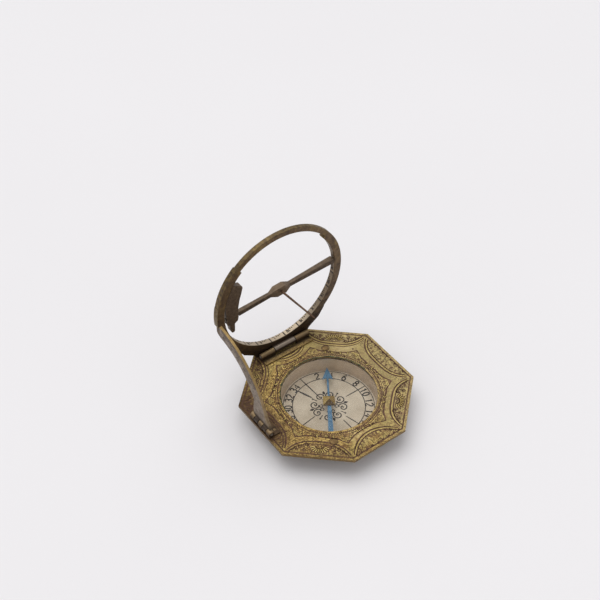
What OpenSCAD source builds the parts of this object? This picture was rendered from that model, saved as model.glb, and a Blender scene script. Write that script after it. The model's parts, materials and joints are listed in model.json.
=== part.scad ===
// Folding universal sundial with a compass, as carried in a pocket.
// +X is east, +Y is north, +Z is up. The origin is in the middle of the plate,
// on the flat underside of the compass bowl. All sizes are in millimetres.
// The dial stands open: the hour ring and the latitude arc are upright.

/* [Hour ring] */
// Inner radius of the hour ring
ring_inner_r = 22.8; // [20:0.1:28]
// Radial width of the ring's chapter part
ring_w = 2.9; // [2.4:0.1:3.6]
// Thickness of the chapter part, from south face to north face
ring_t = 2.2; // [1.9:0.1:3]
// Angle of the thin crown at the ring's free end
crown_angle = 92; // [60:1:110]
// How far east of the ring's top the crown's middle lies, in degrees
crown_turn = 4; // [-8:1:8]
// Thickness of the crown, flush with the south face
crown_t = 1.8; // [1.2:0.05:1.9]
// Radial width of the crown
crown_w = 2.0; // [1.6:0.1:2.6]
// Bevel along the ring's edges
bevel = 0.15; // [0.05:0.05:0.3]
// How far the ring's rim reaches past the axis of its hinge
ring_sink = 0.4; // [0:0.1:0.6]
// Depth of the flat that is filed on the rim's west side
flat_depth = 0.8; // [0.4:0.1:1]
// Lower end of the index on that flat, below the ring's middle
index_low = 2.4; // [2.3:0.1:3]
// Share of the flat's upper half that the index fills
index_share = 0.9; // [0.5:0.05:0.95]

/* [Ring foot] */
// Angle of the ring that its foot spans
foot_angle = 92; // [80:1:100]
// Width of the foot near its lower end
foot_low_w = 24.2; // [22:0.1:28]
// Height of the foot's upright ends above its lower edge
foot_end_h = 1.9; // [1.2:0.1:2.5]
// How far the foot's sides swell out
foot_swell = 1.0; // [0:0.1:1.5]

/* [Plate] */
// Length of the plate's north and south sides
side_ns = 21.3; // [18:0.1:24]
// Length of the plate's east and west sides
side_ew = 25.2; // [21:0.1:28]
// Thickness of the plate
plate_t = 1.0; // [0.9:0.1:1.6]
// How far south of the plate's middle the folded ring lies
fold_shift = 0.3; // [0:0.1:0.5]
// Plate left outside the axis of the ring's hinge
north_margin = 3.7; // [3:0.1:5]
// Plate left outside the axis of the arc's hinge
west_margin = 1.2; // [1.2:0.1:3]

/* [Compass] */
// Radius of the window over the compass
window_r = 16.5; // [14:0.1:18]
// How far the compass lies south of the plate's middle
compass_shift = 1.2; // [0.8:0.1:2]
// Thickness of the lip that holds the glass down
lip_t = 0.3; // [0.2:0.05:0.4]
// Width of the lip over the glass
lip_w = 0.55; // [0.4:0.05:0.8]
// Wall of the bowl
bowl_wall = 0.8; // [0.6:0.1:1.2]
// Thickness of the bowl's floor
bowl_floor = 0.8; // [0.6:0.1:1.5]
// Radius of the bowl's lower edge
bowl_round = 2.0; // [0.5:0.1:2.5]
// Width of the bowl's flange outside its wall
flange_w = 1.4; // [1:0.1:2]
// Thickness of the bowl's flange
flange_t = 0.8; // [0.6:0.1:1.2]
// Thickness of the compass card
card_t = 0.3; // [0.2:0.05:0.5]
// Height of the space between the card and the glass
card_depth = 5.9; // [4.5:0.1:7]
// Distance of the case screws outside the bowl's flange
screw_out = 2.1; // [1.7:0.1:2.5]
// Bearing of the north-east screw, from north
screw_bearing = 33.5; // [25:0.5:40]
// Radius of a case screw's shank
screw_r = 0.8; // [0.6:0.05:1]
// Radius of a case screw's head
screw_head_r = 1.15; // [1.05:0.05:1.4]

/* [Needle] */
// Length of the needle's north arm
needle_north = 15.5; // [12:0.1:15.8]
// Length of the needle's south arm
needle_south = 14.2; // [11:0.1:15.5]
// Thickness of the needle
needle_t = 0.25; // [0.2:0.05:0.4]
// Height of the needle above the card
needle_rise = 2.4; // [1.5:0.1:2.8]
// Width of the arrowhead
arrow_w = 3.8; // [2.4:0.1:4.2]
// Length of the arrowhead
arrow_l = 5.2; // [3:0.1:6]
// Bearing of the needle's tip as the dial lies here, from north
needle_bearing = 34.5; // [0:0.1:359]
// Radius of the pivot pin under the needle
pivot_r = 0.45; // [0.35:0.05:0.6]
// Half the width of the needle's four-sided cap
cap_r = 2.0; // [1.5:0.1:2.3]

/* [Hinges] */
// Radius of the hinge knuckles
knuckle_r = 1.1; // [1:0.05:1.4]
// Radius of the hinge pins
pin_r = 0.5; // [0.4:0.05:0.6]
// Thickness of the hinge leaves
leaf_t = 0.45; // [0.35:0.05:0.8]
// Length of the ring's hinge
ring_hinge_l = 20.4; // [18:0.1:21]
// Length of the ring's own knuckle
ring_knuckle_l = 8.6; // [6:0.1:10]
// Length of the arc's hinge
arc_hinge_l = 11; // [10.4:0.1:14]
// Knuckles on the arc, between those of the plate
arc_fingers = 2; // [1:1:3]
// Width of the strip by which a leaf is riveted down
leaf_strip = 2; // [1.6:0.1:2.6]
// Radius of the rivets
rivet_r = 0.45; // [0.35:0.05:0.6]

/* [Latitude arc] */
// Radial width of the arc
arc_w = 4.7; // [3.5:0.1:6]
// Thickness of the arc
arc_t = 0.9; // [0.7:0.1:1]
// How far the arc reaches past the ring's middle line
arc_reach = 1.6; // [1.2:0.1:2.2]
// Width of the arc's foot
foot_w = 9.2; // [8:0.1:10]
// How far short of upright the arc ends, in degrees
arc_stop = 4.5; // [2:0.5:8]
// Height at which the foot runs into the arc's outer edge
foot_high = 14.5; // [10:0.5:17]
// Height at which the foot runs into the arc's inner edge
foot_low = 8.5; // [7:0.5:12]

/* [Gnomon] */
// Height of the crossbar next to its hub
bar_inner_h = 1.4; // [1.2:0.1:1.8]
// Height of the crossbar at its west end
bar_west_h = 1.6; // [1.5:0.1:2.2]
// Height of the crossbar at its east end
bar_east_h = 2.0; // [1.6:0.1:2.4]
// How far the crossbar is turned in the ring's plane, with its east end up, in degrees
bar_turn = 4; // [0:0.5:4]
// Height of the crossbar's hub
hub_h = 3.1; // [2.4:0.1:3.4]
// Length of the crossbar's hub
hub_l = 8.2; // [6:0.1:10]
// Length of the gnomon from the bar's axis
gnomon_l = 20.4; // [16:0.1:21]
// Radius of the gnomon at its root
gnomon_r = 0.42; // [0.3:0.02:0.6]
// Rise of the gnomon above level, as the dial stands here
gnomon_lift = 8; // [0:1:20]
// Radius of the crossbar's pivots
bar_pivot_r = 0.5; // [0.4:0.05:0.6]

/* [Pivot plate] */
// Width of the pivot plate at the ring's middle line
cheek_w = 5.4; // [5:0.1:6.5]
// Width of the pivot plate at its shoulder
cheek_top_w = 7.5; // [6.8:0.1:8.2]
// Width of the pivot plate's tail
cheek_tail_w = 3.8; // [3.5:0.1:4.6]
// Top of the pivot plate above the ring's middle
cheek_up = 12.5; // [11.5:0.5:14]
// Tip of the pivot plate below the ring's middle
cheek_down = 7.9; // [7:0.1:9]
// Radius of the tail's tip
cheek_tip_r = 0.7; // [0.5:0.05:0.9]
// Gap behind the pivot plate at its lower end
slit_w = 1.0; // [0.8:0.1:1.4]
// Gap behind the pivot plate at its upper end
slit_top_w = 0.4; // [0.3:0.1:0.6]
// Height of that gap's upper end above the ring's middle
slit_high = 6.5; // [5.5:0.1:7.5]

/* [Clearances] */
// Gap between parts that move past each other
clear = 0.3; // [0.3:0.05:0.5]
// Radial clearance of a pin that turns in its hole
running = 0.05; // [0.03:0.01:0.08]

/* [Hidden] */
fine = 96;
small = 40;
past = 1;

// The bowl, the plate and the glass, from the underside up
bowl_h = bowl_floor + card_t + card_depth;
plate_top = bowl_h + plate_t;
card_top = bowl_floor + card_t;
glass_t = plate_t - lip_t;
glass_r = window_r + lip_w;
flange_r = window_r + bowl_wall + flange_w;
screw_circle_r = flange_r + screw_out;
ear_r = screw_head_r + 1.3;
ear_in = 0.6;
screw_head_h = 0.35;

// Both hinge axes lie at one height, so that the arc folds under the ring
axis_h = leaf_t + knuckle_r;
axis_z = plate_top + axis_h;
face_gap = knuckle_r + clear;
ring_outer_r = ring_inner_r + ring_w;
ring_arm = ring_outer_r - ring_sink;
ring_axis_y = ring_arm - fold_shift;
ring_face_y = ring_axis_y + face_gap;
ring_mid_y = ring_face_y + ring_t / 2;
ring_z = axis_z + ring_arm;
flat_x = ring_outer_r - flat_depth;
flat_half = sqrt(ring_outer_r * ring_outer_r - flat_x * flat_x);

// The arc stands just outside the ring, and folds inward
arc_east_x = -(ring_outer_r + clear);
arc_west_x = arc_east_x - arc_t;
arc_axis_in = 0.1;
arc_axis_x = arc_west_x + arc_axis_in;
arc_outer_r = ring_arm + arc_reach;
arc_inner_r = arc_outer_r - arc_w;
arc_axis_y = ring_axis_y - arc_outer_r + 2.2;
arc_end_gap = knuckle_r + 2 * clear;
knuckles = 2 * arc_fingers + 1;
pitch = (arc_hinge_l + clear) / knuckles;

// The plate's outline
plate_x = -arc_axis_x + west_margin;
plate_y = ring_axis_y + north_margin;

// The compass needle and its cap
needle_z = card_top + needle_rise;
needle_hub_r = 1.5;
cap_stem_r = 0.7;
cap_bore_r = pivot_r + 0.1;
cap_roof_z = needle_z + needle_t + 0.75;

// The crossbar between the pivot plate and the ring's east side
bar_west_x = -(ring_inner_r - cheek_w) + clear + bar_west_h / 2 * tan(bar_turn);
bar_east_x = ring_inner_r - clear;
pivot_seat = 2;

// A point of the pivot plate: u is inward from the ring's inner wall on the middle line, v is up
function cheek_at(u, v) = [u - ring_inner_r, v];

// The outline of the pivot plate: a broad shoulder above, a waist at the pivot, a tail below
cheek_tip = [cheek_tail_w * 0.79, cheek_tip_r - cheek_down];
cheek_shoulder_r = cheek_top_w * 0.14;
cheek_outline = [cheek_at(0, cheek_up * 1.07), cheek_at(cheek_top_w * 0.63, cheek_up * 1.02),
    cheek_at(cheek_top_w - cheek_shoulder_r, cheek_up * 0.93), cheek_at(cheek_top_w, cheek_up * 0.82),
    cheek_at(cheek_top_w * 0.91, cheek_up * 0.62), cheek_at(cheek_top_w * 0.82, cheek_up * 0.46),
    cheek_at(cheek_w, cheek_up * 0.16), cheek_at(cheek_w, -cheek_down * 0.22),
    cheek_at(cheek_w * 0.94, -cheek_down * 0.42), cheek_at(cheek_tail_w, -cheek_down * 0.52),
    cheek_at(cheek_tip[0] + cheek_tip_r, cheek_tip[1]), cheek_at(cheek_tip[0] - cheek_tip_r, cheek_tip[1]),
    cheek_at(cheek_tail_w * 0.45, -cheek_down * 0.5), cheek_at(0, -cheek_down * 0.35)];
slit_outline = [cheek_at(-past, slit_high), cheek_at(slit_top_w, slit_high),
    cheek_at(slit_w, -cheek_down * 0.45), cheek_at(slit_w, -cheek_down), cheek_at(-3 * past, -cheek_down)];

// Outline of the plate
module plate_outline() {
    x = plate_x;
    y = plate_y;
    s = side_ns / 2;
    t = side_ew / 2;
    polygon([[s, y], [x, t], [x, -t], [s, -y], [-s, -y], [-x, -t], [-x, t], [-s, y]]);
}

// A round bar along X or along Y, centred
module rod_x(r, l) {
    rotate([0, 90, 0]) cylinder(r = r, h = l, center = true, $fn = small);
}
module rod_y(r, l) {
    rotate([90, 0, 0]) cylinder(r = r, h = l, center = true, $fn = small);
}

// The needle's axis
module at_compass() {
    translate([0, -compass_shift, 0]) children();
}

// The places of the two case screws
module at_screws() {
    at_compass() for (turn = [0, 180])
        rotate([0, 0, 90 - screw_bearing + turn]) translate([screw_circle_r, 0, 0]) children();
}

// The places of the rivets in the two hinge leaves
module at_ring_rivets() {
    for (side = [-1, 0, 1])
        translate([side * (ring_hinge_l / 2 - leaf_strip), ring_axis_y - face_gap - leaf_strip / 2,
            plate_top]) children();
}
module at_arc_rivets() {
    for (side = [-1, 1])
        translate([arc_axis_x + face_gap + leaf_strip / 2,
            arc_axis_y + side * (arc_hinge_l / 2 - leaf_strip), plate_top]) children();
}

// The ring's plane: local Z = 0 is the north face, and the south face is at ring_t
module in_ring() {
    translate([0, ring_face_y + ring_t, ring_z]) rotate([90, 0, 0]) children();
}

// The arc's plane: local X is north from the ring's hinge, Y is up, Z = 0 is the west face
module in_arc() {
    translate([arc_west_x, ring_axis_y, axis_z]) rotate([90, 0, 90]) children();
}

// The crossbar's axis, through the ring's middle, and the bar's own frame, which turns with the gnomon
module on_bar_axis() {
    translate([0, ring_mid_y, ring_z]) rotate([0, -bar_turn, 0]) children();
}
module in_bar() {
    on_bar_axis() rotate([-gnomon_lift, 0, 0]) children();
}

// A bar's section with bevelled corners, for a ring
module ring_section(r, w, t) {
    translate([r, 0]) polygon([[bevel, 0], [w - bevel, 0], [w, bevel], [w, t - bevel],
        [w - bevel, t], [bevel, t], [0, t - bevel], [0, bevel]]);
}

// The octagonal plate, with the window and the rebate for the glass
module base_plate() {
    color("darkgoldenrod") difference() {
        translate([0, 0, bowl_h]) linear_extrude(plate_t) plate_outline();
        at_compass() translate([0, 0, bowl_h - past])
            cylinder(r = window_r, h = plate_t + 2 * past, $fn = fine);
        at_compass() translate([0, 0, bowl_h - past])
            cylinder(r = glass_r + running, h = glass_t + past, $fn = fine);
        at_screws() translate([0, 0, bowl_h - past])
            cylinder(r = screw_r + running, h = plate_t + 2 * past, $fn = small);
        at_ring_rivets() translate([0, 0, -plate_t - past])
            cylinder(r = rivet_r, h = plate_t + 2 * past, $fn = small);
        at_arc_rivets() translate([0, 0, -plate_t - past])
            cylinder(r = rivet_r, h = plate_t + 2 * past, $fn = small);
    }
}

// The glass, held between the plate's lip and the bowl's rim
module compass_glass() {
    color("lightcyan") at_compass() translate([0, 0, bowl_h])
        cylinder(r = glass_r, h = glass_t, $fn = fine);
}

// The bowl, with its flange and the two ears for the screws
module compass_bowl() {
    outer = window_r + bowl_wall;
    corner = [for (a = [0 : 15 : 90])
        [outer - bowl_round + bowl_round * sin(a), bowl_round - bowl_round * cos(a)]];
    color("goldenrod") difference() {
        union() {
            at_compass() rotate_extrude($fn = fine) polygon(concat([[0, 0]], corner,
                [[outer, bowl_h - flange_t], [flange_r, bowl_h - flange_t], [flange_r, bowl_h],
                [window_r, bowl_h], [window_r, bowl_floor], [0, bowl_floor]]));
            at_screws() translate([-ear_in, 0, bowl_h - flange_t])
                cylinder(r = ear_r, h = flange_t, $fn = small);
        }
        at_screws() translate([0, 0, bowl_h - flange_t - past])
            cylinder(r = screw_r, h = flange_t + 2 * past, $fn = small);
        at_compass() translate([0, 0, 0.2])
            cylinder(r = pivot_r, h = bowl_floor + past, $fn = small);
    }
}

// The printed card on the bowl's floor
module compass_card() {
    color("wheat") at_compass() translate([0, 0, bowl_floor]) difference() {
        cylinder(r = window_r - running, h = card_t, $fn = fine);
        translate([0, 0, -past]) cylinder(r = pivot_r + running, h = card_t + 2 * past, $fn = small);
    }
}

// The steel point that carries the needle, pressed into the bowl's floor
module needle_pivot() {
    shoulder = needle_z - 0.2;
    color("slategray") at_compass() rotate_extrude($fn = small)
        polygon([[0, 0.2], [pivot_r, 0.2], [pivot_r, shoulder], [0.08, cap_roof_z - running],
            [0, cap_roof_z - running]]);
}

// The screws that hold the bowl to the plate
module case_screws() {
    color("saddlebrown") at_screws() {
        translate([0, 0, bowl_h - flange_t]) cylinder(r = screw_r, h = flange_t + plate_t, $fn = small);
        translate([0, 0, plate_top]) rotate_extrude($fn = small)
            polygon([[0, 0], [screw_head_r, 0], [screw_head_r - 0.1, screw_head_h * 0.6],
                [screw_head_r * 0.55, screw_head_h], [0, screw_head_h]]);
    }
}

// The two knuckles of the ring's hinge that stay on the plate, and their leaf
module ring_hinge_base() {
    outer_l = (ring_hinge_l - ring_knuckle_l) / 2 - clear;
    color("darkkhaki") difference() {
        translate([0, ring_axis_y, plate_top]) union() {
            translate([-ring_hinge_l / 2, -face_gap - leaf_strip, 0])
                cube([ring_hinge_l, leaf_strip, leaf_t]);
            for (side = [-1, 1]) translate([side * (ring_hinge_l - outer_l) / 2, 0, 0]) {
                translate([-outer_l / 2, -face_gap - past / 2, 0])
                    cube([outer_l, face_gap + past / 2 + knuckle_r * 0.8, leaf_t]);
                translate([-outer_l / 2, -knuckle_r * 0.8, 0])
                    cube([outer_l, knuckle_r * 1.6, axis_h]);
                translate([0, 0, axis_h]) rod_x(knuckle_r, outer_l);
            }
        }
        translate([0, ring_axis_y, axis_z]) rod_x(pin_r, ring_hinge_l + 2 * past);
        at_ring_rivets() translate([0, 0, -past]) cylinder(r = rivet_r, h = leaf_t + 2 * past, $fn = small);
    }
}

// The pin of the ring's hinge, with slightly domed ends
module ring_hinge_pin() {
    color("gray") translate([0, ring_axis_y, axis_z]) rod_x(pin_r, ring_hinge_l + 0.3);
}

// The rivets of the ring's hinge, filed flush
module ring_hinge_rivets() {
    color("peru") at_ring_rivets() translate([0, 0, -plate_t])
        cylinder(r = rivet_r, h = plate_t + leaf_t, $fn = small);
}

// The knuckles of the arc's hinge that stay on the plate, and their leaf
module arc_hinge_base() {
    color("darkkhaki") difference() {
        translate([arc_axis_x, arc_axis_y, plate_top]) union() {
            translate([face_gap, -arc_hinge_l / 2, 0]) cube([leaf_strip, arc_hinge_l, leaf_t]);
            for (k = [0 : 2 : knuckles - 1])
                translate([0, (k - (knuckles - 1) / 2) * pitch, 0]) {
                    translate([-knuckle_r * 0.8, -(pitch - clear) / 2, 0])
                        cube([knuckle_r * 0.8 + face_gap + past / 2, pitch - clear, leaf_t]);
                    translate([-knuckle_r * 0.8, -(pitch - clear) / 2, 0])
                        cube([knuckle_r * 1.6, pitch - clear, axis_h]);
                    translate([0, 0, axis_h]) rod_y(knuckle_r, pitch - clear);
                }
        }
        translate([arc_axis_x, arc_axis_y, axis_z]) rod_y(pin_r, arc_hinge_l + 2 * past);
        at_arc_rivets() translate([0, 0, -past]) cylinder(r = rivet_r, h = leaf_t + 2 * past, $fn = small);
    }
}

// The pin of the arc's hinge
module arc_hinge_pin() {
    color("gray") translate([arc_axis_x, arc_axis_y, axis_z]) rod_y(pin_r, arc_hinge_l + 0.3);
}

// The rivets of the arc's hinge, filed flush
module arc_hinge_rivets() {
    color("peru") at_arc_rivets() translate([0, 0, -plate_t])
        cylinder(r = rivet_r, h = plate_t + leaf_t, $fn = small);
}

// The needle: an arrowhead on a thin shaft to the north, and a widening tail to the south
module compass_needle() {
    shaft = 0.35;
    tail = 0.9;
    root = 0.6;
    neck = needle_north - arrow_l;
    color("steelblue") at_compass() translate([0, 0, needle_z]) rotate([0, 0, -needle_bearing])
        difference() {
            union() {
                linear_extrude(needle_t) polygon([[0, needle_north], [arrow_w / 2, neck - 0.3],
                    [shaft, neck + 0.3], [shaft, 0], [-shaft, 0], [-shaft, neck + 0.3],
                    [-arrow_w / 2, neck - 0.3]]);
                linear_extrude(needle_t) polygon([[root, 0], [tail, -needle_south],
                    [-tail, -needle_south], [-root, 0]]);
                cylinder(r = needle_hub_r, h = needle_t, $fn = small);
            }
            translate([0, 0, -past]) cylinder(r = cap_stem_r, h = needle_t + 2 * past, $fn = small);
        }
}

// The cap that rides on the pivot, clinched through the needle's eye
module needle_cap() {
    under = needle_z - 0.35;
    over = needle_z + needle_t;
    color("gold") at_compass() difference() {
        union() {
            rotate_extrude($fn = small)
                polygon([[0, under], [cap_stem_r + 0.5, under], [cap_stem_r + 0.5, needle_z],
                    [cap_stem_r, needle_z], [cap_stem_r, over + 0.2], [0, over + 0.2]]);
            translate([0, 0, over]) rotate([0, 0, 45 - needle_bearing]) {
                cylinder(r = cap_r * sqrt(2), h = 0.3, $fn = 4);
                translate([0, 0, 0.3]) cylinder(r1 = cap_r * sqrt(2), r2 = 0.3, h = 1.2, $fn = 4);
            }
        }
        rotate_extrude($fn = small)
            polygon([[0, under - past], [cap_bore_r, under - past], [cap_bore_r, needle_z - 0.1],
                [0.1, cap_roof_z], [0, cap_roof_z]]);
    }
}

// The hour ring: a stout chapter part, and a thin crown at the free end
module hour_ring() {
    color("dimgray") difference() {
        in_ring() union() {
            rotate([0, 0, 90 - crown_turn + crown_angle / 2])
                rotate_extrude(angle = 360 - crown_angle, $fn = fine)
                    ring_section(ring_inner_r, ring_w, ring_t);
            translate([0, 0, ring_t - crown_t]) rotate([0, 0, 89 - crown_turn - crown_angle / 2])
                rotate_extrude(angle = crown_angle + 2, $fn = fine)
                    ring_section(ring_outer_r - crown_w, crown_w, crown_t);
        }
        in_ring() translate([-ring_outer_r - past, -flat_half - past, -past])
            cube([flat_depth + past, 2 * flat_half + 2 * past, ring_t + 2 * past]);
        on_bar_axis() rod_x(bar_pivot_r + running, 2 * ring_outer_r + 2 * past);
        at_plate_pins() cylinder(r = rivet_r, h = ring_w + 2 * past, center = true, $fn = small);
    }
}

// The foot that joins the ring to its hinge, with the ring's own knuckle
module ring_foot() {
    low = -(ring_arm + knuckle_r);
    top = ring_outer_r * [sin(foot_angle / 2), -cos(foot_angle / 2)];
    corner = [foot_low_w / 2, low + foot_end_h];
    middle = (top + corner) / 2 + foot_swell * [0.8, -0.6];
    side = [top * 0.97, top * 1.005, middle, corner, [foot_low_w / 2 - foot_end_h * 0.8, low]];
    color("dimgray") in_ring() difference() {
        union() {
            linear_extrude(ring_t)
                polygon(concat(side, [for (k = [len(side) - 1 : -1 : 0]) [-side[k][0], side[k][1]]]));
            translate([-ring_knuckle_l / 2, low, ring_t / 2])
                cube([ring_knuckle_l, knuckle_r * 1.8, ring_t / 2 + face_gap]);
            translate([0, -ring_arm, ring_t + face_gap]) rod_x(knuckle_r, ring_knuckle_l);
        }
        translate([0, 0, -past]) cylinder(r = ring_outer_r, h = ring_t + past, $fn = fine);
        translate([0, -ring_arm, ring_t + face_gap]) rod_x(pin_r + running, ring_knuckle_l + 2 * past);
    }
}

// The index that points at the arc's scale, on the upper part of the rim's flat
module latitude_index() {
    color("dimgray") in_ring() intersection() {
        cylinder(r = ring_outer_r, h = ring_t, $fn = 4 * fine);
        translate([-ring_outer_r - past, -index_low, 0])
            cube([flat_depth + past, index_low + index_share * flat_half, ring_t]);
    }
}

// The places of the two pins that hold the pivot plate to the ring, pointing outward
module at_plate_pins() {
    for (up = [cheek_up - 1.6, cheek_up - 4.2])
        translate([0, ring_mid_y, ring_z]) rotate([0, 180 + asin(up / ring_inner_r), 0])
            translate([ring_inner_r + ring_w / 2, 0, 0]) rotate([0, 90, 0]) children();
}

// The shaped plate inside the ring that carries the crossbar's west pivot
module pivot_plate() {
    color("dimgray") difference() {
        in_ring() intersection() {
            union() {
                linear_extrude(ring_t) polygon(cheek_outline);
                translate(cheek_at(cheek_tip[0], cheek_tip[1]))
                    cylinder(r = cheek_tip_r, h = ring_t, $fn = small);
                translate(cheek_at(cheek_top_w - cheek_shoulder_r, cheek_up * 0.84))
                    cylinder(r = cheek_shoulder_r, h = ring_t, $fn = small);
            }
            cylinder(r = ring_inner_r, h = ring_t, $fn = fine);
        }
        in_ring() translate([0, 0, -past]) linear_extrude(ring_t + 2 * past) polygon(slit_outline);
        on_bar_axis() rod_x(bar_pivot_r + running, 2 * ring_outer_r);
        at_plate_pins() cylinder(r = rivet_r, h = 2 * ring_w + 2, center = true, $fn = small);
    }
}

// The two pins through the ring's wall into the pivot plate
module pivot_plate_pins() {
    color("peru") at_plate_pins() translate([0, 0, -ring_w / 2 - 1])
        cylinder(r = rivet_r, h = ring_w + 1, $fn = small);
}

// One side of the crossbar's outline, from its west end to its east end
function bar_side(top) = [[bar_west_x, bar_west_h / 2], [-hub_l / 2, bar_inner_h / 2],
    [-hub_l * 0.22, top / 2], [hub_l * 0.22, top / 2], [hub_l / 2, bar_inner_h / 2],
    [bar_east_x, bar_east_h / 2]];
function flipped(points) = [for (k = [len(points) - 1 : -1 : 0]) [points[k][0], -points[k][1]]];

module bar_outline(top) {
    polygon(concat(bar_side(top), flipped(bar_side(top))));
}

// The crossbar, faceted and thicker at its hub and its ends
module crossbar() {
    color("saddlebrown") in_bar() difference() {
        intersection() {
            rotate([90, 0, 0]) translate([0, 0, -hub_h]) linear_extrude(2 * hub_h) bar_outline(hub_h);
            translate([0, 0, -hub_h]) linear_extrude(2 * hub_h) bar_outline(hub_h * 0.85);
        }
        translate([bar_east_x, 0, 0]) rod_x(bar_pivot_r, 2 * pivot_seat);
        translate([bar_west_x, 0, 0]) rod_x(bar_pivot_r, 2 * pivot_seat);
        rod_y(gnomon_r, 2 * hub_h);
    }
}

// The pivots of the crossbar: each is fixed in the bar and turns in the ring
module crossbar_pivots() {
    color("gray") in_bar() {
        translate([bar_east_x - pivot_seat, 0, 0]) rotate([0, 90, 0])
            cylinder(r = bar_pivot_r, h = ring_outer_r - bar_east_x + pivot_seat, $fn = small);
        translate([bar_west_x + pivot_seat, 0, 0]) rotate([0, -90, 0])
            cylinder(r = bar_pivot_r, h = flat_x + bar_west_x + pivot_seat - running, $fn = small);
    }
}

// The pin that throws the shadow, through the hub and tapered to its tip
module gnomon_pin() {
    root = hub_h * 0.85 / 2;
    tip_r = gnomon_r * 0.7;
    tip_l = 0.6;
    color("chocolate") in_bar() rotate([90, 0, 0]) {
        translate([0, 0, -root]) cylinder(r = gnomon_r, h = 2 * root, $fn = small);
        translate([0, 0, root])
            cylinder(r1 = gnomon_r, r2 = tip_r, h = gnomon_l - root - tip_l, $fn = small);
        translate([0, 0, gnomon_l - tip_l]) cylinder(r1 = tip_r, r2 = 0.1, h = tip_l, $fn = small);
    }
}

// The latitude arc: a quadrant about the ring's hinge, with a foot and two knuckles
module latitude_arc() {
    hinge_u = arc_axis_y - ring_axis_y;
    function on_edge(r, high) = [-sqrt(r * r - high * high), high];
    color("rosybrown") in_arc() difference() {
        union() {
            rotate([0, 0, 90]) rotate_extrude(angle = 90 - arc_stop, $fn = fine)
                translate([arc_inner_r, 0]) square([arc_w, arc_t]);
            linear_extrude(arc_t) polygon([[hinge_u - foot_w / 2, face_gap], [hinge_u + foot_w / 2, face_gap],
                [hinge_u + foot_w / 2 + 0.1, face_gap + 2.6], on_edge(arc_inner_r, foot_low),
                on_edge(arc_outer_r, foot_high)]);
            for (k = [1 : 2 : knuckles - 1])
                translate([hinge_u + (k - (knuckles - 1) / 2) * pitch, 0, 0]) {
                    translate([-(pitch - clear) / 2, 0, 0]) cube([pitch - clear, face_gap + 0.5, arc_t]);
                    translate([0, 0, arc_axis_in]) rod_x(knuckle_r, pitch - clear);
                }
        }
        translate([-arc_end_gap, 0, -past]) cube([2 * arc_end_gap, arc_outer_r + past, arc_t + 2 * past]);
        translate([hinge_u, 0, arc_axis_in]) rod_x(pin_r + running, arc_hinge_l + 2 * past);
    }
}

base_plate();
compass_glass();
compass_bowl();
compass_card();
needle_pivot();
case_screws();
ring_hinge_base();
ring_hinge_pin();
ring_hinge_rivets();
arc_hinge_base();
arc_hinge_pin();
arc_hinge_rivets();
compass_needle();
needle_cap();
hour_ring();
ring_foot();
latitude_index();
pivot_plate();
pivot_plate_pins();
crossbar();
crossbar_pivots();
gnomon_pin();
latitude_arc();
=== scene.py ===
import functools
import json
import math
import random

import bmesh
import bpy
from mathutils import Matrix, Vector


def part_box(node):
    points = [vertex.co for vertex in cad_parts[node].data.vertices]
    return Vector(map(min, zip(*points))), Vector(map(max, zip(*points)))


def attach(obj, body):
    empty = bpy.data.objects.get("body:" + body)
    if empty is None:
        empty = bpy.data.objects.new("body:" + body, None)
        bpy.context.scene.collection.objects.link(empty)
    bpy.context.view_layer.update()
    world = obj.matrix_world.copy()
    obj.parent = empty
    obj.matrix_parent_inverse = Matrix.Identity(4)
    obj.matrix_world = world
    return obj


# A folding universal sundial with a compass. +Y is north, towards the ring's hinge.
# Places in Blender are in metres, and drawn lines are laid out in millimetres.

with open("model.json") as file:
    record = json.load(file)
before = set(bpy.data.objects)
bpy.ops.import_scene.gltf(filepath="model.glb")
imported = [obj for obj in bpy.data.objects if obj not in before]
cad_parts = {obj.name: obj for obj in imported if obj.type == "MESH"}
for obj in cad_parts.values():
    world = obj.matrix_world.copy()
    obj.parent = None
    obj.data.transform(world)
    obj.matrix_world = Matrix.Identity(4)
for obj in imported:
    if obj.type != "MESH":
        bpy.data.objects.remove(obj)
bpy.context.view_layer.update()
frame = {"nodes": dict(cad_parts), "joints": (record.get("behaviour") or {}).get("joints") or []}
nodes = frame["nodes"]
joints = {j["name"]: j for j in frame["joints"]}
random.seed(7)

MM = 0.001


def points_of(name):
    return [v.co for v in nodes[name].data.vertices]


# Places worked out from the frame
PLATE_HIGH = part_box("base_plate")[1]
PLATE_TOP = PLATE_HIGH.z
GLASS_LOW, GLASS_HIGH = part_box("compass_glass")
LIP_OVER_GLASS = 0.55 * MM
WINDOW = (GLASS_HIGH.x - GLASS_LOW.x) / 2 - LIP_OVER_GLASS
CARD_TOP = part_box("compass_card")[1].z
COMPASS = Vector(joints["needle_spin"]["pos_m"])
NEEDLE_TIP = max(points_of("compass_needle"), key=lambda co: (co - COMPASS).xy.length)
NEEDLE_BEARING = math.atan2(NEEDLE_TIP.x - COMPASS.x, NEEDLE_TIP.y - COMPASS.y)

RING_LOW, RING_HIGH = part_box("hour_ring")
RING_MIDDLE = Vector(joints["gnomon_turn"]["pos_m"])
RING_OUTER = RING_HIGH.z - RING_MIDDLE.z
RING_WALL = 2.9 * MM
RING_INNER = RING_OUTER - RING_WALL
BAR_AXIS = joints["gnomon_turn"]["axis"]
BAR_TURN = math.degrees(math.atan2(BAR_AXIS[2], BAR_AXIS[0]))

# The ring's hinge, about which the latitude arc is struck
RING_HINGE = Vector(joints["ring_fold"]["pos_m"])
ARC_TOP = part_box("latitude_arc")[1].z
ARC_TIP = [co for co in points_of("latitude_arc") if co.z > ARC_TOP - 0.5 * MM]
ARC_WEST = min(co.x for co in ARC_TIP)
ARC_EAST = max(co.x for co in ARC_TIP)
ARC_OUTER = max(math.hypot(co.y - RING_HINGE.y, co.z - RING_HINGE.z) for co in ARC_TIP)

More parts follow.
